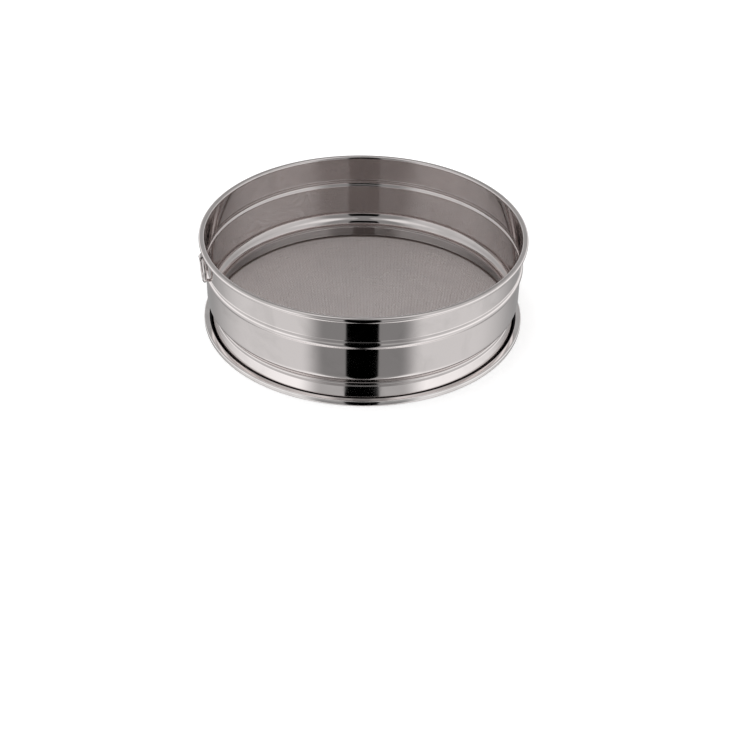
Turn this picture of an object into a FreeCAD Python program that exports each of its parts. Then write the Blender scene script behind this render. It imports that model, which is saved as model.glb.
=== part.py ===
"""Drum sieve: a spun steel drum, wire cloth gripped in a base ring, and a hanging ring.

Millimetres, +Z up, with the origin on the drum's axis at the height of the table.
"""
import FreeCAD, Part
import math
import os
import re
from enum import IntEnum, auto
from typing import NamedTuple

import Sketcher

SHEET_NAME = "Sizes"

# Driving sizes, in millimetres, and angles in degrees
DRIVING = {
    # drum
    "rim_diameter": 300.0,
    "overall_height": 90.0,
    "sheet_thickness": 0.8,
    "rim_bead_diameter": 5.6,
    "curl_end_angle": -125.0,
    "rib_drop": 29.6,
    "rib_width": 8.6,
    "rib_depth": 1.4,
    "waist_height": 17.0,
    "step_depth": 9.4,
    "shoulder_radius": 3.0,
    "waist_radius": 8.3,
    "flare_angle": 26.5,
    "foot_radius": 0.6,
    # wire inside the rolled rim
    "rim_wire_clearance": 0.3,
    # ring that holds the wire cloth
    "base_bead_size": 6.4,
    "base_thickness": 0.7,
    "base_corner_radius": 2.0,
    "lip_angle": 115.0,
    "crevice_width": 2.4,
    # wire cloth, with a coarse grid of bars for its wires, and the hoop at its edge
    "cloth_thickness": 0.8,
    "cloth_border": 6.5,
    "cloth_bar_width": 6.0,
    "stack_clearance": 0.02,
    "hoop_diameter": 1.2,
    "hoop_clearance": 0.3,
    # hanger
    "hanger_angle": 14.5,
    "lug_width": 6.0,
    "lug_thickness": 1.0,
    "lug_tail_length": 9.0,
    "lug_wall_clearance": 0.02,
    "lug_rim_clearance": 1.7,
    "ring_diameter": 26.0,
    "ring_wire_diameter": 3.2,
    "swing_clearance": 0.4,
}

# Sizes that follow from the driving ones
DERIVED = {
    # rolled rim
    "rim_bead_radius": "rim_bead_diameter / 2",
    "rim_bead_inside": "rim_bead_radius - sheet_thickness",
    "rim_circle_radius": "rim_diameter / 2 - rim_bead_radius",
    "rim_circle_height": "overall_height - rim_bead_radius",
    "rim_wire_radius": "rim_bead_inside - rim_wire_clearance",
    "wall_inside": "rim_circle_radius - rim_bead_radius",
    "wall_outside": "wall_inside + sheet_thickness",
    # pressed rib: one arc outside and its parallel inside
    "rib_height": "overall_height - rib_drop",
    "rib_radius": "((rib_width / 2) ^ 2 + rib_depth ^ 2) / (2 * rib_depth)",
    "rib_inside_radius": "rib_radius - sheet_thickness",
    "rib_axis": "wall_outside + rib_depth - rib_radius",
    "rib_half_angle": "asin(rib_width / 2 / rib_radius) / 1 deg",
    "rib_inside_half_angle": "acos((wall_inside - rib_axis) / rib_inside_radius) / 1 deg",
    # shoulder and waist: two arcs that meet where the sheet leans most
    "lean_angle": "acos(1 - step_depth / (shoulder_radius + waist_radius)) / 1 deg",
    "shoulder_height": "waist_height + (shoulder_radius + waist_radius) * sin(lean_angle)",
    "shoulder_axis": "wall_outside - shoulder_radius",
    "shoulder_inside_radius": "shoulder_radius - sheet_thickness",
    "waist_axis": "wall_outside - step_depth + waist_radius",
    "waist_inside_radius": "waist_radius + sheet_thickness",
    "waist_start_angle": "180 - lean_angle",
    "flare_start_angle": "180 + flare_angle",
    # foot: the flare turns into a flat flange on top of the wire cloth
    "cloth_height": "base_thickness + stack_clearance",
    "cloth_top": "cloth_height + cloth_thickness",
    "flange_bottom": "cloth_top + stack_clearance",
    "flange_top": "flange_bottom + sheet_thickness",
    "foot_inside_radius": "foot_radius + sheet_thickness",
    "foot_axis_height": "flange_top + foot_radius",
    "flare_start_radius": "waist_axis - waist_radius * cos(flare_angle)",
    "flare_start_height": "waist_height - waist_radius * sin(flare_angle)",
    "flare_drop": "flare_start_height - foot_axis_height",
    "foot_axis": "flare_start_radius + (foot_radius + flare_drop * sin(flare_angle)) / cos(flare_angle)",
    # base ring: an open bead on a flat foot that carries the cloth and the flange
    "base_bead_radius": "base_bead_size / 2",
    "base_bead_inside": "base_bead_radius - base_thickness",
    "base_axis": "foot_axis + crevice_width - base_bead_radius * cos(lip_angle)",
    "base_corner_inside": "base_corner_radius - base_thickness",
    "base_corner_axis": "base_axis + base_bead_radius - base_corner_radius",
    "base_foot_inside": "foot_axis - foot_inside_radius",
    # hoop, and the cloth and the flange inside it
    "hoop_radius": "hoop_diameter / 2",
    "hoop_circle_radius": "base_axis + base_bead_inside - 2 * hoop_clearance - hoop_radius",
    "hoop_height": "base_thickness + hoop_clearance + hoop_radius",
    "flange_radius": "hoop_circle_radius - hoop_radius - hoop_clearance",
    "cloth_radius": "hoop_circle_radius - hoop_radius - stack_clearance",
    "cloth_open_radius": "cloth_radius - cloth_border",
    "cloth_open_width": "2 * cloth_open_radius",
    # lug: an eye against the wall with a tail of two layers below it
    "ring_wire_radius": "ring_wire_diameter / 2",
    "ring_circle_radius": "ring_diameter / 2 - ring_wire_radius",
    "ring_sag": "ring_circle_radius - sqrt(ring_circle_radius ^ 2 - (lug_width / 2) ^ 2)",
    "eye_bore_radius": "ring_wire_radius + ring_sag / 2 + swing_clearance",
    "eye_radius": "eye_bore_radius + lug_thickness",
    "lug_back": "wall_outside + lug_wall_clearance",
    "lug_front": "lug_back + 2 * lug_thickness",
    "eye_axis": "lug_back + eye_radius",
    "eye_height": "overall_height - rim_bead_diameter - lug_rim_clearance - eye_radius",
    "eye_turn_angle": "-acos((lug_front - eye_axis) / eye_radius) / 1 deg",
    "lug_bottom": "eye_height - lug_tail_length",
    "ring_centre_height": "eye_height + ring_sag / 2 - ring_circle_radius",
    "hanger_turn": "180 + hanger_angle",
}

ALIAS_PATTERN = re.compile(r"\b(" + "|".join([*DRIVING, *DERIVED]) + r")\b")
FULL_TURN = 360
CLOTH_OPENINGS_ACROSS = 12
SAME_PLACE_SHARE = 1e-6


class EdgePoint(IntEnum):
    """Which point of an edge a constraint holds."""

    START = auto()
    END = auto()
    CENTRE = auto()


class Side(NamedTuple):
    """A side of a box: the name of its size, and the axis that it lies along."""

    size: str
    axis: str


class Corner(NamedTuple):
    """A corner of an outline, given as expressions of the sheet's sizes."""

    across: str
    up: str


class Round(NamedTuple):
    """A round stretch of an outline, through the points at these angles round a centre."""

    centre_across: str
    centre_up: str
    radius: str
    angles: tuple


class Point(NamedTuple):
    """A point of an outline, and the radius and direction of the arc that leaves it, if one does."""

    across: str
    up: str
    radius: str | None
    turns_left: bool


def bound(formula: str) -> str:
    """Put the sheet's name before each size in a formula."""
    return ALIAS_PATTERN.sub(SHEET_NAME + r".\1", formula)


def make_sheet(doc):
    """Write the driving sizes, and the sizes that follow from them, into a spreadsheet."""
    sheet = doc.addObject("Spreadsheet::Sheet", SHEET_NAME)
    formulas = {alias: "=" + formula for alias, formula in DERIVED.items()}
    numbers = {alias: str(value) for alias, value in DRIVING.items()}
    for row, (alias, content) in enumerate({**numbers, **formulas}.items(), start=1):
        sheet.set(f"A{row}", alias)
        sheet.set(f"B{row}", content)
        sheet.setAlias(f"B{row}", alias)
    doc.recompute()
    return sheet


def value_of(sheet, formula: str) -> float:
    """Work out a formula of the sheet's sizes as a plain number."""
    result = sheet.evalExpression(bound(formula))
    return float(getattr(result, "Value", result))


def outline_points(sheet, runs: list) -> list:
    """List the points of an outline once each, where one run ends on the start of the next."""
    points = []
    for run in runs:
        if isinstance(run, Corner):
            points.append(Point(run.across, run.up, None, False))
            continue
        angles = [value_of(sheet, str(angle)) for angle in run.angles]
        turns_left = angles[-1] > angles[0]
        for number, angle in enumerate(run.angles, start=1):
            across = f"{run.centre_across} + ({run.radius}) * cos({angle})"
            up = f"{run.centre_up} + ({run.radius}) * sin({angle})"
            radius = run.radius if number < len(run.angles) else None
            points.append(Point(across, up, radius, turns_left))
    places = [(value_of(sheet, point.across), value_of(sheet, point.up)) for point in points]
    near = SAME_PLACE_SHARE * max(max(place) for place in places)
    kept = []
    for number, point in enumerate(points):
        after = (number + 1) % len(points)
        if point.radius is None and math.dist(places[number], places[after]) < near:
            continue
        kept.append(point)
    return kept


def arc_between(start, end, radius: float, turns_left: bool):
    """Make the arc shorter than a half circle from start to end, turning left or right."""
    chord = end - start
    half = chord.Length / 2
    rise = math.sqrt(max(radius ** 2 - half ** 2, 0.0))
    side = FreeCAD.Vector(-chord.y, chord.x, 0).normalize()
    centre = (start + end) / 2 + side * (rise if turns_left else -rise)
    first, last = (start, end) if turns_left else (end, start)
    angles = [math.atan2(place.y - centre.y, place.x - centre.x) for place in (first, last)]
    circle = Part.Circle(centre, FreeCAD.Vector(0, 0, 1), radius)
    return Part.ArcOfCircle(circle, angles[0], angles[1])


def draw_outline(sketch, sheet, runs: list) -> None:
    """Draw a closed outline whose points and radii are bound to the sheet."""
    points = outline_points(sheet, runs)
    places = [FreeCAD.Vector(value_of(sheet, p.across), value_of(sheet, p.up), 0) for p in points]
    for number, point in enumerate(points):
        start, end = places[number], places[(number + 1) % len(points)]
        if point.radius is None:
            sketch.addGeometry(Part.LineSegment(start, end))
        else:
            sketch.addGeometry(arc_between(start, end, value_of(sheet, point.radius), point.turns_left))

    def end_of(number: int, leaving: bool) -> EdgePoint:
        """Say which end of an edge its path leaves from or arrives at: arcs run to the left only."""
        runs_backwards = points[number].radius is not None and not points[number].turns_left
        return EdgePoint.START if leaving != runs_backwards else EdgePoint.END

    for number, point in enumerate(points):
        before = (number - 1) % len(points)
        edge_end = end_of(number, True)
        sketch.addConstraint(
            Sketcher.Constraint("Coincident", before, end_of(before, False), number, edge_end))
        for kind, formula, place in (("DistanceX", point.across, places[number].x),
                                     ("DistanceY", point.up, places[number].y)):
            index = sketch.addConstraint(Sketcher.Constraint(kind, -1, 1, number, edge_end, place))
            sketch.setExpression(f"Constraints[{index}]", bound(formula))
        if point.radius is not None:
            radius = value_of(sheet, point.radius)
            index = sketch.addConstraint(Sketcher.Constraint("Radius", number, radius))
            sketch.setExpression(f"Constraints[{index}]", bound(point.radius))


def make_body(doc, label: str):
    """Make an empty body with its node's name."""
    body = doc.addObject("PartDesign::Body", label)
    body.Label = label
    return body


def sketch_upright(body, name: str):
    """Make a sketch in the body's upright plane: across is the radius, up is the height."""
    plane = next(item for item in body.Origin.OriginFeatures if item.Role == "XZ_Plane")
    sketch = body.newObject("Sketcher::SketchObject", name)
    sketch.AttachmentSupport = [(plane, "")]
    sketch.MapMode = "FlatFace"
    return sketch


def revolve(body, sketch, axis_name: str):
    """Turn a section right round one of its sketch's axes."""
    turned = body.newObject("PartDesign::Revolution", body.Label + "_turned")
    turned.Profile = sketch
    turned.ReferenceAxis = (sketch, [axis_name])
    turned.Angle = FULL_TURN
    body.Tip = turned
    return turned


def make_drum_shell(doc, sheet):
    """The drum: one sheet with a rolled rim, a rib, a shoulder, a waist, a flare and a flange."""
    body = make_body(doc, "drum_shell")
    sketch = sketch_upright(body, "drum_section")
    rim = ("rim_circle_radius", "rim_circle_height")
    rib = ("rib_axis", "rib_height")
    shoulder = ("shoulder_axis", "shoulder_height")
    waist = ("waist_axis", "waist_height")
    foot = ("foot_axis", "foot_axis_height")
    draw_outline(sketch, sheet, [
        Round(*rim, "rim_bead_radius", (180, 90, 0, -90, "curl_end_angle")),
        Round(*rim, "rim_bead_inside", ("curl_end_angle", -90, 0, 90, 180)),
        Round(*rib, "rib_radius", ("rib_half_angle", "-rib_half_angle")),
        Round(*shoulder, "shoulder_radius", (0, "-lean_angle")),
        Round(*waist, "waist_radius", ("waist_start_angle", "flare_start_angle")),
        Round(*foot, "foot_radius", ("flare_start_angle", 270)),
        Corner("flange_radius", "flange_top"),
        Corner("flange_radius", "flange_bottom"),
        Round(*foot, "foot_inside_radius", (270, "flare_start_angle")),
        Round(*waist, "waist_inside_radius", ("flare_start_angle", "waist_start_angle")),
        Round(*shoulder, "shoulder_inside_radius", ("-lean_angle", 0)),
        Round(*rib, "rib_inside_radius", ("-rib_inside_half_angle", "rib_inside_half_angle")),
    ])
    revolve(body, sketch, "V_Axis")
    return body


def make_base_ring(doc, sheet):
    """The base ring: a bead with an open lip, and a flat foot under the cloth and the flange."""
    body = make_body(doc, "base_ring")
    sketch = sketch_upright(body, "base_section")
    bead = ("base_axis", "base_bead_radius")
    corner = ("base_corner_axis", "base_corner_radius")
    draw_outline(sketch, sheet, [
        Round(*bead, "base_bead_radius", ("lip_angle", 90, 0)),
        Round(*corner, "base_corner_radius", (0, -90)),
        Corner("base_foot_inside", "0"),
        Corner("base_foot_inside", "base_thickness"),
        Round(*corner, "base_corner_inside", (-90, 0)),
        Round(*bead, "base_bead_inside", (0, 90, "lip_angle")),
    ])
    revolve(body, sketch, "V_Axis")
    return body


def make_wire_hoop(doc, label: str, circle_radius: str, wire_radius: str, height: str):
    """A level hoop of round wire round the drum's axis."""
    hoop = doc.addObject("Part::Torus", label)
    hoop.Label = label
    hoop.setExpression("Radius1", bound(circle_radius))
    hoop.setExpression("Radius2", bound(wire_radius))
    hoop.setExpression("Placement.Base.z", bound(height))
    return hoop


def make_disc(doc, label: str, radius: str):
    """A level disc of the cloth's thickness, at the cloth's height."""
    disc = doc.addObject("Part::Cylinder", label)
    disc.setExpression("Radius", bound(radius))
    disc.setExpression("Height", bound("cloth_thickness"))
    disc.setExpression("Placement.Base.z", bound("cloth_height"))
    return disc


def make_cloth_bar(doc, label: str, sides: tuple, share: float):
    """A bar right across the cloth, at a share of the open width from its middle."""
    along, across = sides
    bar = doc.addObject("Part::Box", label)
    bar.setExpression("Height", bound("cloth_thickness"))
    bar.setExpression(along.size, bound("2 * cloth_radius"))
    bar.setExpression(across.size, bound("cloth_bar_width"))
    bar.setExpression(f"Placement.Base.{along.axis}", bound("-cloth_radius"))
    middle = f"{share!r} * cloth_open_width"
    bar.setExpression(f"Placement.Base.{across.axis}", bound(f"{middle} - cloth_bar_width / 2"))
    bar.setExpression("Placement.Base.z", bound("cloth_height"))
    return bar


def make_mesh_cloth(doc):
    """The wire cloth: a disc with a plain border and a grid of openings between bars."""
    sides = (Side("Length", "x"), Side("Width", "y"))
    bars = []
    for number in range(1, CLOTH_OPENINGS_ACROSS):
        share = number / CLOTH_OPENINGS_ACROSS - 1 / 2
        for way, order in (("along_x", sides), ("along_y", sides[::-1])):
            bars.append(make_cloth_bar(doc, f"cloth_bar_{way}_{number}", order, share))
    grid = doc.addObject("Part::MultiFuse", "cloth_grid")
    grid.Shapes = bars
    grid.Refine = True
    openings = doc.addObject("Part::Cut", "cloth_openings")
    openings.Base = make_disc(doc, "cloth_open_disc", "cloth_open_radius")
    openings.Tool = grid
    cloth = doc.addObject("Part::Cut", "mesh_cloth")
    cloth.Label = "mesh_cloth"
    cloth.Base = make_disc(doc, "cloth_disc", "cloth_radius")
    cloth.Tool = openings
    return cloth


def turn_to_hanger(body) -> None:
    """Turn a body from +X round the drum's axis to where the hanger is."""
    body.Placement = FreeCAD.Placement(
        FreeCAD.Vector(), FreeCAD.Rotation(FreeCAD.Vector(0, 0, 1), FULL_TURN / 2))
    body.setExpression("Placement.Rotation.Angle", bound("hanger_turn"))


def make_hanger_lug(doc, sheet):
    """The lug: a strap folded round a bore, with its two ends flat on the wall below."""
    body = make_body(doc, "hanger_lug")
    outline = sketch_upright(body, "lug_outline")
    draw_outline(outline, sheet, [
        Corner("lug_back", "lug_bottom"),
        Round("eye_axis", "eye_height", "eye_radius", (180, 90, 0, "eye_turn_angle")),
        Corner("lug_front", "lug_bottom"),
    ])
    strap = body.newObject("PartDesign::Pad", "lug_strap")
    strap.Profile = outline
    strap.SideType = "Symmetric"
    strap.setExpression("Length", bound("lug_width"))
    doc.recompute()
    bore_outline = sketch_upright(body, "lug_bore_outline")
    draw_circle(bore_outline, sheet, "eye_axis", "eye_height", "eye_bore_radius")
    bore = body.newObject("PartDesign::Pocket", "lug_bore")
    bore.Profile = bore_outline
    bore.SideType = "Symmetric"
    bore.Type = "ThroughAll"
    body.Tip = bore
    turn_to_hanger(body)
    return body


def draw_circle(sketch, sheet, across: str, up: str, radius: str) -> None:
    """Draw a circle whose centre and radius are bound to the sheet."""
    centre = FreeCAD.Vector(value_of(sheet, across), value_of(sheet, up), 0)
    circle = Part.Circle(centre, FreeCAD.Vector(0, 0, 1), value_of(sheet, radius))
    number = sketch.addGeometry(circle)
    for kind, formula, place in (("DistanceX", across, centre.x), ("DistanceY", up, centre.y)):
        index = sketch.addConstraint(Sketcher.Constraint(kind, -1, 1, number, EdgePoint.CENTRE, place))
        sketch.setExpression(f"Constraints[{index}]", bound(formula))
    index = sketch.addConstraint(Sketcher.Constraint("Radius", number, value_of(sheet, radius)))
    sketch.setExpression(f"Constraints[{index}]", bound(radius))


def make_hanging_ring(doc, sheet):
    """The hanging ring: round wire bent to a circle that passes through the eye of the lug."""
    body = make_body(doc, "hanging_ring")
    sketch = sketch_upright(body, "ring_section")
    draw_circle(sketch, sheet, "eye_axis", "ring_centre_height + ring_circle_radius", "ring_wire_radius")
    height = value_of(sheet, "ring_centre_height")
    ends = {EdgePoint.START: "wall_outside", EdgePoint.END: "eye_axis"}
    places = [FreeCAD.Vector(value_of(sheet, across), height, 0) for across in ends.values()]
    axis_line = sketch.addGeometry(Part.LineSegment(*places), True)
    for edge_end, across in ends.items():
        place = value_of(sheet, across)
        for kind, formula, size in (("DistanceX", across, place),
                                    ("DistanceY", "ring_centre_height", height)):
            index = sketch.addConstraint(Sketcher.Constraint(kind, -1, 1, axis_line, edge_end, size))
            sketch.setExpression(f"Constraints[{index}]", bound(formula))
    revolve(body, sketch, "Axis0")
    turn_to_hanger(body)
    return body


def check(doc, nodes: list) -> None:
    """Stop if any object failed, or any piece is not one valid solid."""
    for item in doc.Objects:
        if {"Invalid", "Error"} & set(item.State):
            raise RuntimeError(f"{item.Label} failed: {item.State}")
    for node in nodes:
        shape = node.Shape
        if shape.isNull() or not shape.isValid() or len(shape.Solids) != 1:
            raise RuntimeError(f"{node.Label} is not one valid solid")


def main() -> None:
    """Build the sieve and write each piece to its own file."""
    doc = FreeCAD.newDocument("drum_sieve")
    sheet = make_sheet(doc)
    nodes = [
        make_drum_shell(doc, sheet),
        make_wire_hoop(doc, "rim_wire", "rim_circle_radius", "rim_wire_radius", "rim_circle_height"),
        make_base_ring(doc, sheet),
        make_mesh_cloth(doc),
        make_wire_hoop(doc, "mesh_hoop", "hoop_circle_radius", "hoop_radius", "hoop_height"),
        make_hanger_lug(doc, sheet),
        make_hanging_ring(doc, sheet),
    ]
    doc.recompute()
    check(doc, nodes)
    os.makedirs("parts", exist_ok=True)
    for node in nodes:
        node.Shape.exportStep(f"parts/{node.Label}.step")
        print(f"{node.Label}: {node.Shape.Volume:.1f} mm3")


main()
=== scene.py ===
"""A drum sieve in polished steel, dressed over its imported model.

Shapes are worked out in millimetres round the drum's axis and go into their meshes in metres. Angles of
bends are in degrees.
"""

import logging
import math
from dataclasses import dataclass
from enum import Enum

import bpy
import numpy as np
from mathutils import Matrix, Vector

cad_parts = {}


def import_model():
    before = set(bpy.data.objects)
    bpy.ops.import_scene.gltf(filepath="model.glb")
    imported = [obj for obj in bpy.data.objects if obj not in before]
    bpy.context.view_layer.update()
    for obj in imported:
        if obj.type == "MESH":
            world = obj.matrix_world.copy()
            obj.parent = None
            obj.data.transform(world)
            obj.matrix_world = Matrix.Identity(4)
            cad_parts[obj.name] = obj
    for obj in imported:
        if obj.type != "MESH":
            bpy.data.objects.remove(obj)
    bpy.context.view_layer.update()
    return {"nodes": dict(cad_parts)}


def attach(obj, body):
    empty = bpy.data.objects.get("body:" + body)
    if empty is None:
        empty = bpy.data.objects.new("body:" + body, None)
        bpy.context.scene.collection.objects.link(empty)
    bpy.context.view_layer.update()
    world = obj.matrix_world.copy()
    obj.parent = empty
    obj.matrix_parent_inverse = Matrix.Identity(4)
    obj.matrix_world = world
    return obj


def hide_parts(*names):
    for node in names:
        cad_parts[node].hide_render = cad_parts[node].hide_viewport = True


MM = 0.001
LOG = logging.getLogger("drum_sieve")

# The largest angle between two samples of a bend, and the fewest samples of one
BEND_STEP = 6.0
FEWEST_SAMPLES = 3
# The number of steps in the half circle at a sheet's edge
EDGE_STEPS = 6
# Points nearer than this are one point
LEAST_GAP = 1e-6

Colour = tuple[float, float, float]


class Body(Enum):
    """The rigid bodies that pieces ride on."""

    DRUM = "drum"
    RING = "ring"


class Slot(Enum):
    """The record's material slots, one noted on each new piece."""

    DRUM = "drum_steel"
    BASE = "base_steel"
    CLOTH = "wire_cloth"
    HANGER = "hanger_steel"


class Lay(Enum):
    """The two directions of the wires in the cloth."""

    WARP = "warp"
    WEFT = "weft"


@dataclass(frozen=True)
class Bend:
    """A round stretch of a bent sheet, by its middle line.

    The face is 1 where the sheet's front looks away from the bend's centre and -1 where it looks at it.
    """

    across: float
    up: float
    radius: float
    start: float
    end: float
    face: int

    def sample(self) -> tuple[np.ndarray, np.ndarray]:
        """Sample the bend: a point is the centre plus the radius along a ray that turns evenly.

        Returns:
            The points, and the direction that the sheet's front looks in at each.
        """
        count = int(math.ceil(abs(self.end - self.start) / BEND_STEP)) + 1
        turn = np.radians(np.linspace(self.start, self.end, max(count, FEWEST_SAMPLES)))
        ray = np.stack([np.cos(turn), np.sin(turn)], 1)
        return np.array([self.across, self.up]) + self.radius * ray, self.face * ray


def middle_line(bends: list[Bend], guard: float) -> tuple[np.ndarray, np.ndarray]:
    """Join bends by straight runs into one middle line.

    A straight run gets two more points, a guard length from its ends, so that its shading stays flat.

    Args:
        bends: the round stretches in order.
        guard: the distance of the extra points from a run's ends.

    Returns:
        The points of the line, and the direction that the sheet's front looks in at each.
    """
    points, looks = [], []
    for bend in bends:
        place, look = bend.sample()
        if points:
            start = points[-1][-1]
            run = float(np.linalg.norm(place[0] - start))
            if run > 4 * guard:
                shares = np.array([guard / run, 1 - guard / run])[:, None]
                points.append(start + shares * (place[0] - start))
                looks.append(looks[-1][-1] + shares * (look[0] - looks[-1][-1]))
            elif run < LEAST_GAP:
                place, look = place[1:], look[1:]
        points.append(place)
        looks.append(look)
    return np.concatenate(points), np.concatenate(looks)


def sheet_section(points: np.ndarray, looks: np.ndarray, thickness: float) -> np.ndarray:
    """Close a bent sheet's outline: its middle line moved half a thickness each way, with round ends.

    Args:
        points: the middle line.
        looks: the direction that the front looks in at each point.
        thickness: of the sheet.

    Returns:
        The outline, anticlockwise.
    """
    half = thickness / 2

    def round_end(at: int, ahead: np.ndarray) -> np.ndarray:
        """Turn half a circle from the front, through the direction ahead, to the back."""
        turn = np.radians(np.linspace(0, 180, EDGE_STEPS + 1)[1:-1])[:, None]
        return points[at] + half * (np.cos(turn) * looks[at] + np.sin(turn) * ahead)

    first = (points[0] - points[1]) / np.linalg.norm(points[0] - points[1])
    last = (points[-1] - points[-2]) / np.linalg.norm(points[-1] - points[-2])
    front = points + half * looks
    back = points - half * looks
    outline = np.concatenate([front, round_end(-1, last), back[::-1], round_end(0, first)[::-1]])
    after = np.roll(outline, -1, 0)
    area = np.sum(outline[:, 0] * after[:, 1] - after[:, 0] * outline[:, 1])
    return outline if area > 0 else outline[::-1]


def grid_faces(rows: int, columns: int, close_rows: bool, close_columns: bool) -> np.ndarray:
    """List the four corners of each cell of a grid of points.

    Args:
        rows: the number of rows of points.
        columns: the number of points in a row.
        close_rows: whether the last row joins the first.
        close_columns: whether the last point of a row joins its first.

    Returns:
        One row of four point numbers for each cell.
    """
    row = np.arange(rows if close_rows else rows - 1)
    column = np.arange(columns if close_columns else columns - 1)
    row, column = np.meshgrid(row, column, indexing="ij")
    next_row, next_column = (row + 1) % rows, (column + 1) % columns
    corners = [row * columns + column, next_row * columns + column,
               next_row * columns + next_column, row * columns + next_column]
    return np.stack(corners, -1).reshape(-1, 4)


def turned_sheet(bends: list[Bend], guard: float, thickness: float, turns: int) -> tuple[np.ndarray, list]:
    """Turn a bent sheet's section round the drum's axis: a point is (r cos a, r sin a, z).

    Args:
        bends: the round stretches of the section in order.
        guard: the distance of the extra points from a straight run's ends.
        thickness: of the sheet.
        turns: the number of steps in a turn.

    Returns:
        The points and the faces.
    """
    points, looks = middle_line(bends, guard)
    keep = np.linalg.norm(np.diff(points, axis=0, append=points[-1:] + 1), axis=1) > LEAST_GAP
    section = sheet_section(points[keep], looks[keep], thickness)
    turn = np.linspace(0, 2 * np.pi, turns, endpoint=False)[:, None]
    radius, height = section[None, :, 0], section[None, :, 1]
    shape = np.stack([radius * np.cos(turn), radius * np.sin(turn), height + 0 * turn], -1)
    return shape.reshape(-1, 3), grid_faces(turns, len(section), True, True).tolist()


@dataclass
class Piece:
    """A finished piece: its name, its body, its slot and the node that it stands for."""

    name: str
    body: Body
    slot: Slot
    stands_for: str

    def make(self, points: np.ndarray, faces: list, material: bpy.types.Material) -> bpy.types.Object:
        """Put a shape into a mesh, dress it and let it ride on its body.

        Args:
            points: in millimetres.
            faces: lists of point numbers.
            material: the finish.

        Returns:
            The new object.
        """
        mesh = bpy.data.meshes.new(self.name)
        mesh.from_pydata((points * MM).tolist(), [], faces)
        mesh.shade_smooth()
        mesh.materials.append(material)
        item = bpy.data.objects.new(self.name, mesh)
        bpy.context.scene.collection.objects.link(item)
        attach(item, self.body.value)
        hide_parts(self.stands_for)
        LOG.info("%s: %d points, %d faces", self.name, len(mesh.vertices), len(mesh.polygons))
        return item


class Graph:
    """A short way to add nodes to a tree and link them."""

    def __init__(self, tree: bpy.types.NodeTree) -> None:
        """Start from the given tree."""
        self.tree = tree

    def add(self, kind: str, values: dict | None = None, **settings: object) -> bpy.types.Node:
        """Add a node.

        Args:
            kind: the node's type name.
            values: what goes into its inputs: a socket is linked and anything else is set.
            settings: the node's own settings.

        Returns:
            The node.
        """
        node = self.tree.nodes.new(kind)
        for name, value in settings.items():
            setattr(node, name, value)
        self.fill(node, values or {})
        return node

    def fill(self, node: bpy.types.Node, values: dict) -> None:
        """Give a node its inputs: a socket is linked and anything else is set.

        Args:
            node: in the tree.
            values: by the names or the numbers of the inputs.
        """
        for name, value in values.items():
            if isinstance(value, bpy.types.NodeSocket):
                self.tree.links.new(value, node.inputs[name])
            else:
                node.inputs[name].default_value = value

    def math(self, operation: str, first: object, second: object = 0.0) -> bpy.types.NodeSocket:
        """Add one sum of two numbers and give its result."""
        return self.add("ShaderNodeMath", {0: first, 1: second}, operation=operation).outputs[0]

    def length(self, first: object, second: object) -> bpy.types.NodeSocket:
        """Measure the long side of a right-angled triangle by its short sides and give the result."""
        pair = self.add("ShaderNodeCombineXYZ", {"X": first, "Y": second}).outputs[0]
        return self.add("ShaderNodeVectorMath", {0: pair}, operation="LENGTH").outputs["Value"]

    def ramp(self, value: object, low: float, high: float, first: float, last: float) -> bpy.types.NodeSocket:
        """Carry a value smoothly from one range to another and give its result."""
        values = {"Value": value, "From Min": low, "From Max": high, "To Min": first, "To Max": last}
        return self.add("ShaderNodeMapRange", values, interpolation_type="SMOOTHSTEP").outputs["Result"]

    def blend(self, share: object, first: object, second: object) -> bpy.types.NodeSocket:
        """Blend two numbers by a share and give the result."""
        return self.add("ShaderNodeMix", {"Factor": share, 2: first, 3: second}, data_type="FLOAT").outputs[0]

    def blend_colours(self, share: object, first: object, second: object) -> bpy.types.NodeSocket:
        """Blend two colours by a share and give the result."""
        return self.add("ShaderNodeMix", {"Factor": share, 6: first, 7: second}, data_type="RGBA").outputs[2]


class MaskGroup:
    """A node group that is built once and makes a mask from 0 to 1 out of a place."""

    NAME = ""
    SETTINGS: tuple[str, ...] = ()
    MASK = "Mask"

    @classmethod
    def mask(cls, graph: Graph, given: bpy.types.NodeOutputs) -> bpy.types.NodeSocket:
        """Build the inside of the group.

        Args:
            graph: where the nodes go.
            given: the group's inputs: the place and the settings.

        Returns:
            The mask.
        """
        raise NotImplementedError

    @classmethod
    def group(cls) -> bpy.types.NodeTree:
        """Find the group, or build it.

        Returns:
            The group.
        """
        tree = bpy.data.node_groups.get(cls.NAME)
        if tree is None:
            tree = bpy.data.node_groups.new(cls.NAME, "ShaderNodeTree")
            face = tree.interface
            face.new_socket("Place", in_out="INPUT", socket_type="NodeSocketVector")
            for name in cls.SETTINGS:
                face.new_socket(name, in_out="INPUT", socket_type="NodeSocketFloat")
            face.new_socket(cls.MASK, in_out="OUTPUT", socket_type="NodeSocketFloat")
            graph = Graph(tree)
            given = graph.add("NodeGroupInput").outputs
            graph.add("NodeGroupOutput", {cls.MASK: cls.mask(graph, given)})
        return tree

    @classmethod
    def use(cls, graph: Graph, place: bpy.types.NodeSocket, *settings: float) -> bpy.types.NodeSocket:
        """Put the group into a material.

        Args:
            graph: the material's.
            place: where the mask is wanted.
            settings: one number for each of the group's settings.

        Returns:
            The mask.
        """
        values = {"Place": place, **dict(zip(cls.SETTINGS, settings))}
        return graph.add("ShaderNodeGroup", values, node_tree=cls.group()).outputs[cls.MASK]


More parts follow.
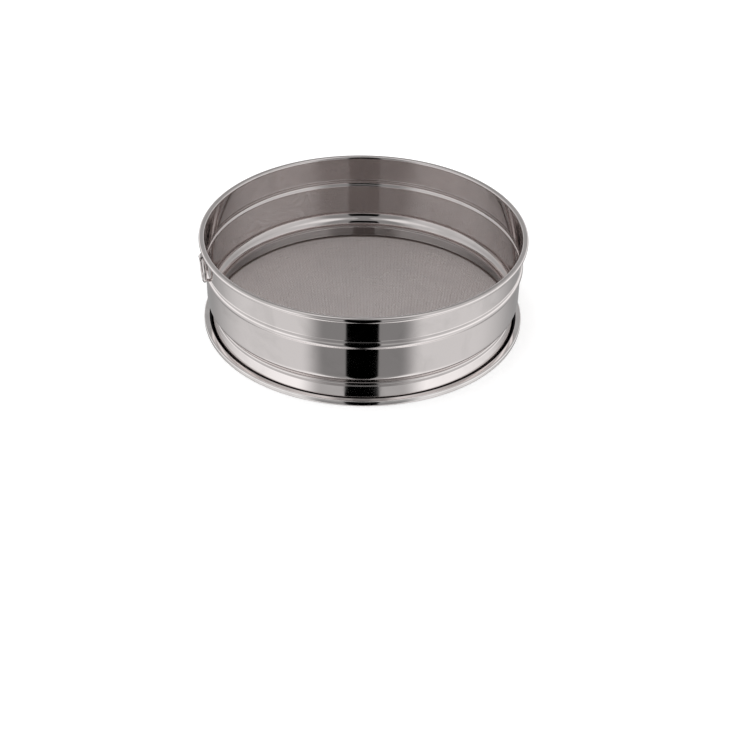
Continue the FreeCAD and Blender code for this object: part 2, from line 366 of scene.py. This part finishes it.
class SpunLines(MaskGroup):
    """Fine lines that run round the drum's axis, as spinning and polishing leave them."""

    NAME = "spun_lines"
    SETTINGS = ("Reach", "Fineness")
    DETAIL = 4.0
    ROUGHNESS = 0.6

    @classmethod
    def mask(cls, graph: Graph, given: bpy.types.NodeOutputs) -> bpy.types.NodeSocket:
        """Build noise that is stretched round the axis.

        Args:
            graph: where the nodes go.
            given: the place, the lines' reach round the axis, and their fineness across.

        Returns:
            The lines.
        """
        axes = graph.add("ShaderNodeSeparateXYZ", {0: given["Place"]}).outputs
        level = graph.add("ShaderNodeCombineXYZ", {"X": axes["X"], "Y": axes["Y"]}).outputs[0]
        round_way = graph.add("ShaderNodeVectorMath", {0: level}, operation="NORMALIZE").outputs[0]
        stretched = graph.add("ShaderNodeVectorMath", {0: round_way, "Scale": given["Reach"]},
                              operation="SCALE").outputs[0]
        slant = graph.math("ADD", axes["Z"], graph.length(axes["X"], axes["Y"]))
        rise = graph.add("ShaderNodeCombineXYZ", {"Z": graph.math("MULTIPLY", slant, given["Fineness"])})
        place = graph.add("ShaderNodeVectorMath", {0: stretched, 1: rise.outputs[0]}, operation="ADD")
        noise = graph.add("ShaderNodeTexNoise", {"Vector": place.outputs[0], "Scale": 1.0,
                                                 "Detail": cls.DETAIL, "Roughness": cls.ROUGHNESS})
        return noise.outputs["Fac"]


class HandMarks(MaskGroup):
    """Faint cloudy patches, as handling and wiping leave on polished steel."""

    NAME = "hand_marks"
    SETTINGS = ("Breadth",)
    DETAIL = 5.0
    ROUGHNESS = 0.55
    DISTORTION = 0.6
    # The noise levels where a patch begins and is full
    BEGIN = 0.45
    FULL = 0.7

    @classmethod
    def mask(cls, graph: Graph, given: bpy.types.NodeOutputs) -> bpy.types.NodeSocket:
        """Build broad noise, sharpened to patches.

        Args:
            graph: where the nodes go.
            given: the place and the breadth of the patches.

        Returns:
            The patches.
        """
        noise = graph.add("ShaderNodeTexNoise", {"Vector": given["Place"], "Scale": given["Breadth"],
                                                 "Detail": cls.DETAIL, "Roughness": cls.ROUGHNESS,
                                                 "Distortion": cls.DISTORTION})
        return graph.ramp(noise.outputs["Fac"], cls.BEGIN, cls.FULL, 0.0, 1.0)


@dataclass(frozen=True)
class Hollow:
    """A place round the drum's axis that painted shade goes on: a circle in the section, with its colour."""

    across: float
    up: float
    reach: float
    edge: float
    colour: Colour

    def mask(self, graph: Graph, place: bpy.types.NodeSocket) -> bpy.types.NodeSocket:
        """Measure how far a place is from the circle's centre, in the section through the place.

        Args:
            graph: where the nodes go.
            place: in metres, in the drum's frame.

        Returns:
            A mask, 1 within the hollow's reach and 0 beyond its edge.
        """
        axes = graph.add("ShaderNodeSeparateXYZ", {0: place}).outputs
        out = graph.math("SUBTRACT", graph.length(axes["X"], axes["Y"]), self.across * MM)
        rise = graph.math("SUBTRACT", axes["Z"], self.up * MM)
        return graph.ramp(graph.length(out, rise), self.reach * MM, (self.reach + self.edge) * MM, 1.0, 0.0)


@dataclass(frozen=True)
class SteelFinish:
    """A steel finish: its colours, how clear its reflections are, its lines, its patches and hollows of
    painted shade.
    """

    name: str
    colour: Colour
    dull_colour: Colour
    roughness: float
    line_roughness: float
    patch_roughness: float
    fineness: float
    breadth: float
    line_depth: float = 0.0006
    reach: float = 1.5
    hollows: tuple[Hollow, ...] = ()

    def material(self) -> bpy.types.Material:
        """Build the finish.

        Returns:
            The material: lines change its roughness and bump, patches its roughness and colour, and
            hollows paint shade into its colour.
        """
        material = bpy.data.materials.new(self.name)
        material.use_nodes = True
        graph = Graph(material.node_tree)
        place = graph.add("ShaderNodeTexCoord").outputs["Object"]
        line = SpunLines.use(graph, place, self.reach, self.fineness)
        patch = HandMarks.use(graph, place, self.breadth)
        rough = graph.math("ADD", graph.math("MULTIPLY", line, self.line_roughness),
                           graph.math("MULTIPLY", patch, self.patch_roughness))
        colour = graph.blend_colours(patch, (*self.colour, 1.0), (*self.dull_colour, 1.0))
        # Each hollow paints its shade over the colour
        for hollow in self.hollows:
            colour = graph.blend_colours(hollow.mask(graph, place), colour, (*hollow.colour, 1.0))
        bump = graph.add("ShaderNodeBump",
                         {"Strength": 1.0, "Distance": self.line_depth * MM, "Height": line})
        graph.fill(material.node_tree.nodes["Principled BSDF"], {
            "Base Color": colour,
            "Roughness": graph.math("ADD", rough, self.roughness),
            "Normal": bump.outputs["Normal"],
            "Metallic": 1.0,
        })
        return material


# Painted shade: black painted into the gap between the neck and the base ring's lip and inside the base
# ring's channel, and a darker colour painted on the neck inside the drum, which a wide circle follows
SHADE_BLACK = (0.015, 0.015, 0.016)
LIP_GAP_SHADE = Hollow(across=146.0, up=3.6, reach=3.1, edge=0.5, colour=SHADE_BLACK)
CHANNEL_SHADE = Hollow(across=145.4, up=2.3, reach=2.0, edge=0.5, colour=SHADE_BLACK)
# Painted shade: the neck inside the drum is painted darker, as less light reaches down there
INNER_NECK_SHADE = Hollow(across=117.05, up=0.85, reach=25.0, edge=0.1, colour=(0.45, 0.42, 0.41))

DRUM_FINISH = SteelFinish(
    "polished_drum_steel", colour=(0.775, 0.73, 0.72), dull_colour=(0.71, 0.67, 0.66), roughness=0.03,
    line_roughness=0.05, patch_roughness=0.05, fineness=900.0, breadth=28.0, hollows=(LIP_GAP_SHADE, INNER_NECK_SHADE))
BASE_FINISH = SteelFinish(
    "polished_base_steel", colour=(0.88, 0.845, 0.835), dull_colour=(0.80, 0.765, 0.755), roughness=0.04,
    line_roughness=0.06, patch_roughness=0.05, fineness=900.0, breadth=30.0, hollows=(CHANNEL_SHADE,))
HANGER_FINISH = SteelFinish(
    "polished_hanger_steel", colour=(0.775, 0.73, 0.72), dull_colour=(0.69, 0.65, 0.64), roughness=0.06,
    line_roughness=0.08, patch_roughness=0.06, fineness=1200.0, breadth=90.0)
CLOTH_FINISH = SteelFinish(
    "woven_wire_steel", colour=(0.55, 0.46, 0.44), dull_colour=(0.49, 0.41, 0.395), roughness=0.24,
    line_roughness=0.08, patch_roughness=0.06, fineness=2500.0, breadth=40.0, line_depth=0.0004, reach=2.0)
WIRE_FINISH = SteelFinish(
    "drawn_wire_steel", colour=(0.70, 0.67, 0.66), dull_colour=(0.63, 0.60, 0.595), roughness=0.16,
    line_roughness=0.10, patch_roughness=0.06, fineness=1500.0, breadth=60.0)


@dataclass
class Drum:
    """The spun drum, of one sheet: rolled rim, wall with a rib, shoulder, waist, ledge, neck and flange."""

    thickness: float = 0.8
    rim_across: float = 147.2
    rim_up: float = 87.2
    rim_bend: float = 2.4
    curl_end: float = -125.0
    wall: float = 144.8
    rib_up: float = 60.9
    rib_half: float = 4.6
    rib_depth: float = 1.9
    rib_root: float = 2.3
    shoulder_bend: float = 8.4
    waist_bend: float = 6.7
    waist_up: float = 16.0
    step: float = 7.0
    ledge: float = 1.8
    flare_bend: float = 2.4
    edge_bend: float = 1.6
    neck_lean: float = 16.0
    foot_bend: float = 0.6
    flange_up: float = 1.94
    flange_end: float = 146.25
    guard: float = 0.5
    turns: int = 320

    def bends(self) -> list[Bend]:
        """List the sheet's bends from the curl's end down to the flange.

        The rib, the step and the ledge are each made of tangent arcs: two arcs that turn by an angle a,
        one each way, shift the sheet sideways by the sum of their radii times 1 - cos a, over a height
        of that sum times sin a. The neck leans out from the ledge down to the foot.

        Returns:
            The bends in order.
        """
        rib_sum = (self.rib_half ** 2 + self.rib_depth ** 2) / (2 * self.rib_depth)
        rib_turn = math.degrees(math.asin(self.rib_half / rib_sum))
        crown = rib_sum - self.rib_root
        root = self.wall + self.rib_root
        step_sum = self.shoulder_bend + self.waist_bend
        lean = math.acos(1 - self.step / step_sum)
        turn = math.degrees(lean)
        shoulder_up = self.waist_up + step_sum * math.sin(lean)
        waist = self.wall - self.step
        ledge_sum = self.flare_bend + self.edge_bend
        slope = math.acos(1 - self.ledge / ledge_sum)
        flare = math.degrees(slope)
        edge_across = waist + self.ledge - self.edge_bend
        edge_up = self.waist_up - ledge_sum * math.sin(slope)
        lean_out = math.radians(self.neck_lean)
        foot_up = self.flange_up + self.foot_bend
        foot_across = (edge_across + (self.edge_bend + self.foot_bend) / math.cos(lean_out)
                       + (edge_up - foot_up) * math.tan(lean_out))
        return [
            Bend(self.rim_across, self.rim_up, self.rim_bend, self.curl_end, 180.0, -1),
            Bend(root, self.rib_up + self.rib_half, self.rib_root, 180.0, 180.0 + rib_turn, -1),
            Bend(self.wall + self.rib_depth - crown, self.rib_up, crown, rib_turn, -rib_turn, 1),
            Bend(root, self.rib_up - self.rib_half, self.rib_root, 180.0 - rib_turn, 180.0, -1),
            Bend(self.wall - self.shoulder_bend, shoulder_up, self.shoulder_bend, 0.0, -turn, 1),
            Bend(waist + self.waist_bend, self.waist_up, self.waist_bend, 180.0 - turn, 180.0, -1),
            Bend(waist + self.flare_bend, self.waist_up, self.flare_bend, 180.0, 180.0 + flare, -1),
            Bend(edge_across, edge_up, self.edge_bend, flare, self.neck_lean, 1),
            Bend(foot_across, foot_up, self.foot_bend, 180.0 + self.neck_lean, 270.0, -1),
            Bend(self.flange_end, self.flange_up, 0.0, 270.0, 270.0, -1),
        ]

    def build(self) -> None:
        """Turn the sheet's section into the drum."""
        shape, faces = turned_sheet(self.bends(), self.guard, self.thickness, self.turns)
        piece = Piece("drum_sheet", Body.DRUM, Slot.DRUM, "drum_shell")
        piece.make(shape, faces, DRUM_FINISH.material())


@dataclass
class Base:
    """The base ring: a channel with a flat lip round the neck and a flat foot under the cloth."""

    thickness: float = 0.7
    outside: float = 149.458
    height: float = 4.9
    lip_inside: float = 144.458
    lip_corner: float = 1.4
    foot_corner: float = 1.6
    foot_inside: float = 141.106
    guard: float = 0.2
    turns: int = 384

    def bends(self) -> list[Bend]:
        """List the channel's bends from the lip's edge to the foot's, half a thickness inside its outer face.

        Returns:
            The bends in order.
        """
        half = self.thickness / 2
        return [
            Bend(self.lip_inside + half, self.height - half, 0.0, 90.0, 90.0, 1),
            Bend(self.outside - self.lip_corner, self.height - self.lip_corner, self.lip_corner - half,
                 90.0, 0.0, 1),
            Bend(self.outside - self.foot_corner, self.foot_corner, self.foot_corner - half, 0.0, -90.0, 1),
            Bend(self.foot_inside + half, half, 0.0, -90.0, -90.0, 1),
        ]

    def build(self) -> None:
        """Turn the channel's section into the ring."""
        shape, faces = turned_sheet(self.bends(), self.guard, self.thickness, self.turns)
        piece = Piece("base_bead", Body.DRUM, Slot.BASE, "base_ring")
        piece.make(shape, faces, BASE_FINISH.material())


@dataclass
class Cloth:
    """The wire cloth: wires that pass over and under each other in a plain square weave."""

    radius: float = 146.9
    pitch: float = 1.4
    wire_radius: float = 0.2
    up: float = 1.12
    sides: int = 4
    band: float = 0.265

    def wires(self, lay: Lay, low: float, high: float) -> tuple[np.ndarray, list]:
        """Work out the wires of one direction between two limits across it.

        A wire's height is the weave's middle plus or minus a wire's radius times the cosine of half a
        turn for each pitch along it, and neighbours are half a turn apart. The tube's corners lie
        round that line, and only samples inside the cloth's circle are kept.

        Args:
            lay: the direction of the wires.
            low: the lowest place across, as a share of the radius.
            high: the highest place across, as a share of the radius.

        Returns:
            The points and the faces, with a face on each end of a wire.
        """
        reach = int(self.radius / self.pitch) + 1
        number = np.arange(-reach, reach)
        across = (number + 0.5) * self.pitch
        chosen = (across > low * self.radius) & (across <= high * self.radius)
        number, across = number[chosen][:, None], across[chosen][:, None]
        along = np.arange(-2 * reach, 2 * reach + 1)[None, :] * self.pitch / 2
        sign = 1.0 if lay is Lay.WARP else -1.0
        phase = np.pi * (along / self.pitch - 0.5 + number)
        height = sign * self.wire_radius * np.cos(phase)
        slope = -sign * self.wire_radius * np.pi / self.pitch * np.sin(phase)
        length = np.sqrt(1 + slope ** 2)
        turn = 2 * np.pi * np.arange(self.sides) / self.sides + np.pi / 2
        side, lift = self.wire_radius * np.cos(turn), self.wire_radius * np.sin(turn)
        place_across = across[..., None] + side + 0 * height[..., None]
        place_along = (along + 0 * height)[..., None] - lift * (slope / length)[..., None]
        place_up = self.up + height[..., None] + lift / length[..., None]
        inside = across ** 2 + along ** 2 < self.radius ** 2
        order = [place_across, place_along] if lay is Lay.WARP else [place_along, place_across]
        points = np.stack([*order, place_up], -1)[inside].reshape(-1, 3)
        first = np.where(inside, np.cumsum(inside).reshape(inside.shape) - 1, -1) * self.sides
        corner = np.arange(self.sides)
        beside = (corner + 1) % self.sides
        both = inside[:, :-1] & inside[:, 1:]
        near, far = first[:, :-1][both][:, None], first[:, 1:][both][:, None]
        quads = np.stack([near + corner, far + corner, far + beside, near + beside], -1).reshape(-1, 4)
        ahead = np.pad(inside, ((0, 0), (0, 1)))[:, 1:]
        behind = np.pad(inside, ((0, 0), (1, 0)))[:, :-1]
        starts = first[inside & ~behind][:, None] + corner
        ends = first[inside & ~ahead][:, None] + corner[::-1]
        if lay is Lay.WEFT:
            quads, starts, ends = quads[:, ::-1], starts[:, ::-1], ends[:, ::-1]
        return points, quads.tolist() + starts.tolist() + ends.tolist()

    def build(self) -> None:
        """Make each direction's wires in three bands of about the same area."""
        material = CLOTH_FINISH.material()
        limits = (-1.0, -self.band, self.band, 1.0)
        for lay in Lay:
            for place, low, high in zip(("low", "middle", "high"), limits, limits[1:]):
                points, faces = self.wires(lay, low, high)
                piece = Piece(f"{lay.value}_wires_{place}", Body.DRUM, Slot.CLOTH, "mesh_cloth")
                piece.make(points, faces, material)


@dataclass
class Hanger:
    """The hanger: a strap folded round a wire ring, on the wall under the rim."""

    turn: float = 194.5
    wall: float = 145.22
    eye_across: float = 148.421
    eye_up: float = 79.499
    eye_bend: float = 2.7
    strap: float = 1.0
    width: float = 6.0
    tail: float = 9.0
    neck_bend: float = 2.5
    edge: float = 0.3
    edge_turns: int = 24
    guard: float = 0.3
    ring_bend: float = 11.4
    ring_up: float = 68.3
    ring_turns: int = 120
    wire_radius: float = 1.6
    wire_turns: int = 28

    def to_place(self, points: np.ndarray) -> np.ndarray:
        """Turn points given as out, along and up from the drum's axis to the hanger's place.

        Args:
            points: out from the axis, along the wall and up.

        Returns:
            The points in the drum's frame.
        """
        turn = math.radians(self.turn)
        out, along, up = points[..., 0], points[..., 1], points[..., 2]
        return np.stack([out * math.cos(turn) - along * math.sin(turn),
                         out * math.sin(turn) + along * math.cos(turn), up], -1)

    def strap_line(self) -> tuple[np.ndarray, np.ndarray]:
        """Work out the strap's middle line: up the wall, round the ring, and back down over itself.

        The strap leaves the eye where a bend of the neck's radius, turning the other way, brings it
        straight down one thickness in front of itself.

        Returns:
            The points, and the direction of the strap's outer face at each.
        """
        back = self.wall + self.strap / 2
        front = back + self.strap
        reach = self.eye_bend + self.neck_bend
        leave = -math.degrees(math.acos((front + self.neck_bend - self.eye_across) / reach))
        neck_up = self.eye_up + reach * math.sin(math.radians(leave))
        foot = self.eye_up - self.tail
        bends = [
            Bend(self.eye_across, self.eye_up, self.eye_bend, 180.0, leave, 1),
            Bend(front + self.neck_bend, neck_up, self.neck_bend, leave + 180.0, 180.0, -1),
        ]
        points, looks = middle_line(bends, self.guard)
        points = np.concatenate([[[back, foot]], points, [[front, foot]]])
        looks = np.concatenate([[[-1.0, 0.0]], looks, [[1.0, 0.0]]])
        return points, looks

    def build_lug(self, material: bpy.types.Material) -> None:
        """Carry a rounded rectangle along the strap's line, and close its two ends.

        Args:
            material: the finish.
        """
        points, looks = self.strap_line()
        turn = 2 * np.pi * (np.arange(self.edge_turns) + 0.5) / self.edge_turns
        corner_along = np.sign(np.cos(turn)) * (self.width / 2 - self.edge) + self.edge * np.cos(turn)
        corner_out = np.sign(np.sin(turn)) * (self.strap / 2 - self.edge) + self.edge * np.sin(turn)
        out = points[:, 0, None] + looks[:, 0, None] * corner_out
        up = points[:, 1, None] + looks[:, 1, None] * corner_out
        shape = np.stack([out, corner_along + 0 * out, up], -1)
        rows, columns = out.shape
        faces = grid_faces(rows, columns, False, True).tolist()
        faces.append(list(range(columns))[::-1])
        faces.append(list(range((rows - 1) * columns, rows * columns)))
        piece = Piece("hanger_strap", Body.DRUM, Slot.HANGER, "hanger_lug")
        piece.make(self.to_place(shape).reshape(-1, 3), faces, material)

    def build_ring(self, material: bpy.types.Material) -> None:
        """Carry a circle of the wire's radius round a circle in the plane along the wall.

        Args:
            material: the finish.
        """
        round_ring = np.linspace(0, 2 * np.pi, self.ring_turns, endpoint=False)[:, None]
        round_wire = np.linspace(0, 2 * np.pi, self.wire_turns, endpoint=False)[None, :]
        reach = self.ring_bend + self.wire_radius * np.cos(round_wire)
        shape = np.stack([self.eye_across + self.wire_radius * np.sin(round_wire) + 0 * round_ring,
                          reach * np.cos(round_ring), self.ring_up + reach * np.sin(round_ring)], -1)
        faces = grid_faces(self.ring_turns, self.wire_turns, True, True)
        piece = Piece("hanging_wire_ring", Body.RING, Slot.HANGER, "hanging_ring")
        piece.make(self.to_place(shape).reshape(-1, 3), faces.tolist(), material)

    def build(self) -> None:
        """Make the strap and the ring in one finish."""
        material = HANGER_FINISH.material()
        self.build_lug(material)
        self.build_ring(material)


@dataclass(frozen=True)
class Shades:
    """The room's light levels from straight down to straight up, at angles over the horizon."""

    stops: tuple[tuple[float, float], ...]

    def level(self, graph: Graph, rise: bpy.types.NodeSocket) -> bpy.types.NodeSocket:
        """Look up the level for a direction.

        Args:
            graph: where the nodes go.
            rise: the direction's angle over the horizon, in degrees.

        Returns:
            The level, blended evenly between stops.
        """
        share = graph.math("ADD", graph.math("DIVIDE", rise, 180.0), 0.5)
        node = graph.add("ShaderNodeValToRGB", {"Fac": share})
        points = node.color_ramp.elements
        given = len(points)
        for number, (angle, level) in enumerate(self.stops):
            place = angle / 180.0 + 0.5
            point = points[number] if number < given else points.new(place)
            point.position = place
            point.color = (level, level, level, 1.0)
        return node.outputs["Color"]


SLIT_SHADES = Shades(((-90, 0.05), (-75, 0.03), (-62, 0.0), (42, 0.0), (48, 0.08), (54, 0.32),
                      (58, 0.32), (66, 0.22), (90, 0.3)))
GREY_SHADES = Shades(((-90, 0.45), (-70, 0.4), (-50, 0.28), (-33, 0.25), (-18, 0.3), (-4, 0.5),
                      (8, 0.45), (20, 0.3), (45, 0.25), (58, 0.3), (70, 0.4), (90, 0.6)))
SIDE_SHADES = Shades(((-90, 1.1), (-76, 1.25), (-64, 1.05), (-54, 0.95), (-44, 0.78), (-34, 0.75),
                      (-18, 0.85), (-6, 1.2), (4, 1.2), (14, 0.75), (34, 0.62), (58, 0.62), (68, 0.9),
                      (80, 0.95), (90, 0.9)))
BACK_SHADES = Shades(((-90, 1.1), (-80, 0.7), (-70, 0.25), (-60, 0.12), (-40, 0.3), (-33, 0.35),
                      (-20, 0.3), (-8, 1.0), (4, 1.0), (12, 0.4), (32, 0.4), (50, 0.3), (70, 0.3),
                      (82, 0.5), (90, 0.8)))


@dataclass(frozen=True)
class Zone:
    """A zone of the room, which blends in between two angles from the camera's side, and its shades."""

    shades: Shades
    start: float
    end: float


ZONES = (Zone(GREY_SHADES, start=11.0, end=12.5),
         Zone(SIDE_SHADES, start=27.0, end=46.0),
         Zone(BACK_SHADES, start=88.0, end=150.0))


@dataclass(frozen=True)
class Floor:
    """A flat ring of floor, in metres.

    The lift is a glow that only the camera sees, and the passing is the share of what the steel
    reflects that goes on through the floor into the room. From below the floor is clear.
    """

    name: str
    inner: float
    outer: float
    tone: float
    lift: float
    glow: Colour
    passing: float
    in_steel: bool
    roughness: float = 0.9
    drop: float = 0.0001
    turns: int = 128

    def material(self) -> bpy.types.Material:
        """Build the floor's matt finish.

        Returns:
            The material.
        """
        material = bpy.data.materials.new(self.name)
        material.use_nodes = True
        graph = Graph(material.node_tree)
        nodes = material.node_tree.nodes
        rays = graph.add("ShaderNodeLightPath").outputs
        shader = nodes["Principled BSDF"]
        graph.fill(shader, {
            "Base Color": (self.tone, self.tone, self.tone, 1.0),
            "Roughness": self.roughness,
            "Specular IOR Level": 0.0,
            "Emission Color": (*self.glow, 1.0),
            "Emission Strength": graph.math("MULTIPLY", rays["Is Camera Ray"], self.lift),
        })
        below = graph.add("ShaderNodeNewGeometry").outputs["Backfacing"]
        passing = graph.math("MAXIMUM", graph.math("MULTIPLY", rays["Is Glossy Ray"], self.passing), below)
        clear = graph.add("ShaderNodeBsdfTransparent")
        mixed = graph.add("ShaderNodeMixShader", {0: passing, 1: shader.outputs[0], 2: clear.outputs[0]})
        graph.fill(nodes["Material Output"], {"Surface": mixed.outputs[0]})
        return material

    def build(self) -> None:
        """Lay the ring just under the sieve's foot."""
        turn = np.linspace(0, 2 * np.pi, self.turns, endpoint=False)[:, None]
        radius = np.array([[self.inner, self.outer]])
        points = np.stack([radius * np.cos(turn), radius * np.sin(turn), 0 * radius * turn - self.drop], -1)
        faces = grid_faces(self.turns, 2, True, False)[:, ::-1]
        mesh = bpy.data.meshes.new(self.name)
        mesh.from_pydata(points.reshape(-1, 3).tolist(), [], faces.tolist())
        mesh.materials.append(self.material())
        item = bpy.data.objects.new(self.name, mesh)
        bpy.context.scene.collection.objects.link(item)
        item.visible_glossy = self.in_steel


FLOORS = (
    # The floor under the sieve is greyer than the floor round it: painted shade where the sieve shades the
    # table
    Floor("floor_under_shaded", inner=0.0001, outer=0.149, tone=0.55, lift=0.28, glow=(1.0, 0.91, 0.89),
          passing=0.6, in_steel=True),
    Floor("floor_round", inner=0.149, outer=6.0, tone=0.92, lift=0.25, glow=(1.0, 1.0, 1.0),
          passing=0.0, in_steel=False),
)


@dataclass
class Studio:
    """The camera, the light and the pale floor.

    Angles are in radians and lengths in metres. The sensor is in millimetres, and the frame, the focal
    length and the origin's place right of and below the frame's middle are in pixels.
    """

    elevation: float = 0.578522
    distance: float = 1.27169
    focal_pixels: float = 1335.94
    frame_pixels: float = 750.0
    roll: float = 0.012681
    origin_across: float = -12.186
    origin_down: float = -63.514
    sensor: float = 36.0
    fill: float = 0.95
    lamp_place: tuple[float, float, float] = (-0.3, -0.2, 1.6)
    lamp_size: float = 1.4
    lamp_power: float = 6.0

    def build_camera(self) -> None:
        """Stand the camera at the photograph's angle, turned so that the origin lies at its pixel."""
        forward = Vector((0.0, math.cos(self.elevation), -math.sin(self.elevation)))
        level = Vector((1.0, 0.0, 0.0))
        upright = level.cross(forward)
        right = math.cos(self.roll) * level + math.sin(self.roll) * upright
        up = -math.sin(self.roll) * level + math.cos(self.roll) * upright
        aim = Matrix((right, up, -forward)).transposed()
        seen = Vector((self.origin_across, -self.origin_down, -self.focal_pixels)).normalized()
        aim = aim @ seen.rotation_difference(Vector((0.0, 0.0, -1.0))).to_matrix()
        data = bpy.data.cameras.new("camera")
        data.sensor_fit = "HORIZONTAL"
        data.sensor_width = self.sensor
        data.lens = self.focal_pixels * self.sensor / self.frame_pixels
        camera = bpy.data.objects.new("camera", data)
        camera.matrix_world = Matrix.Translation(-self.distance * forward) @ aim.to_4x4()
        bpy.context.scene.collection.objects.link(camera)
        bpy.context.scene.camera = camera

    def build_room(self) -> None:
        """Light the sieve softly from all round, with a dark slit where the camera stands.

        The room is white to the camera. In the steel it is dark in a slit towards the camera, grey on
        either side of it, pale at the sides and darker behind, each with its own shades from the floor
        to the ceiling.
        """
        world = bpy.data.worlds.new("studio")
        world.use_nodes = True
        bpy.context.scene.world = world
        graph = Graph(world.node_tree)
        axes = graph.add("ShaderNodeSeparateXYZ",
                         {0: graph.add("ShaderNodeTexCoord").outputs["Generated"]}).outputs
        round_way = graph.math("ARCTAN2", axes["X"], graph.math("MULTIPLY", axes["Y"], -1.0))
        round_way = graph.math("ABSOLUTE", graph.math("DEGREES", round_way))
        rise = graph.math("DEGREES", graph.math("ARCSINE", axes["Z"]))
        room = SLIT_SHADES.level(graph, rise)
        for zone in ZONES:
            share = graph.ramp(round_way, zone.start, zone.end, 0.0, 1.0)
            room = graph.blend(share, room, zone.shades.level(graph, rise))
        rays = graph.add("ShaderNodeLightPath").outputs
        lit = graph.blend(rays["Is Glossy Ray"], self.fill, room)
        shown = graph.blend(rays["Is Camera Ray"], lit, 1.0)
        graph.fill(world.node_tree.nodes["Background"], {"Color": shown})

    def build_lamp(self) -> None:
        """Hang a broad lamp over the sieve, for its shadow. The steel doesn't show it."""
        data = bpy.data.lights.new("overhead", "AREA")
        data.shape = "DISK"
        data.size = self.lamp_size
        data.energy = self.lamp_power
        lamp = bpy.data.objects.new("overhead", data)
        lamp.location = self.lamp_place
        lamp.rotation_euler = (-Vector(self.lamp_place)).to_track_quat("-Z", "Y").to_euler()
        lamp.visible_glossy = False
        bpy.context.scene.collection.objects.link(lamp)

    def build(self) -> None:
        """Set up the camera, the light and the floor."""
        bpy.context.scene.view_settings.view_transform = "Standard"
        self.build_camera()
        self.build_room()
        self.build_lamp()
        for floor in FLOORS:
            floor.build()


def dress_hidden_wires(nodes: dict) -> None:
    """Give the wire in the rim and the hoop at the cloth's edge their finish.

    Args:
        nodes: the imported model's objects by name.
    """
    material = WIRE_FINISH.material()
    for name in ("rim_wire", "mesh_hoop"):
        node = nodes[name]
        if not node.material_slots:
            node.data.materials.append(material)
        for slot in node.material_slots:
            slot.material = material
        LOG.info("%s: dressed", name)


def corners(box: tuple[Vector, Vector]) -> list[list[float]]:
    """Give a box's two corners as plain lists."""
    return [list(map(float, corner)) for corner in box]


def main() -> None:
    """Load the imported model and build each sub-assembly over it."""
    logging.basicConfig(level=logging.INFO, format="%(message)s")
    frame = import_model()
    for assembly in (Drum(), Base(), Cloth(), Hanger()):
        assembly.build()
    dress_hidden_wires(frame["nodes"])
    Studio().build()


if __name__ == "__main__":
    main()
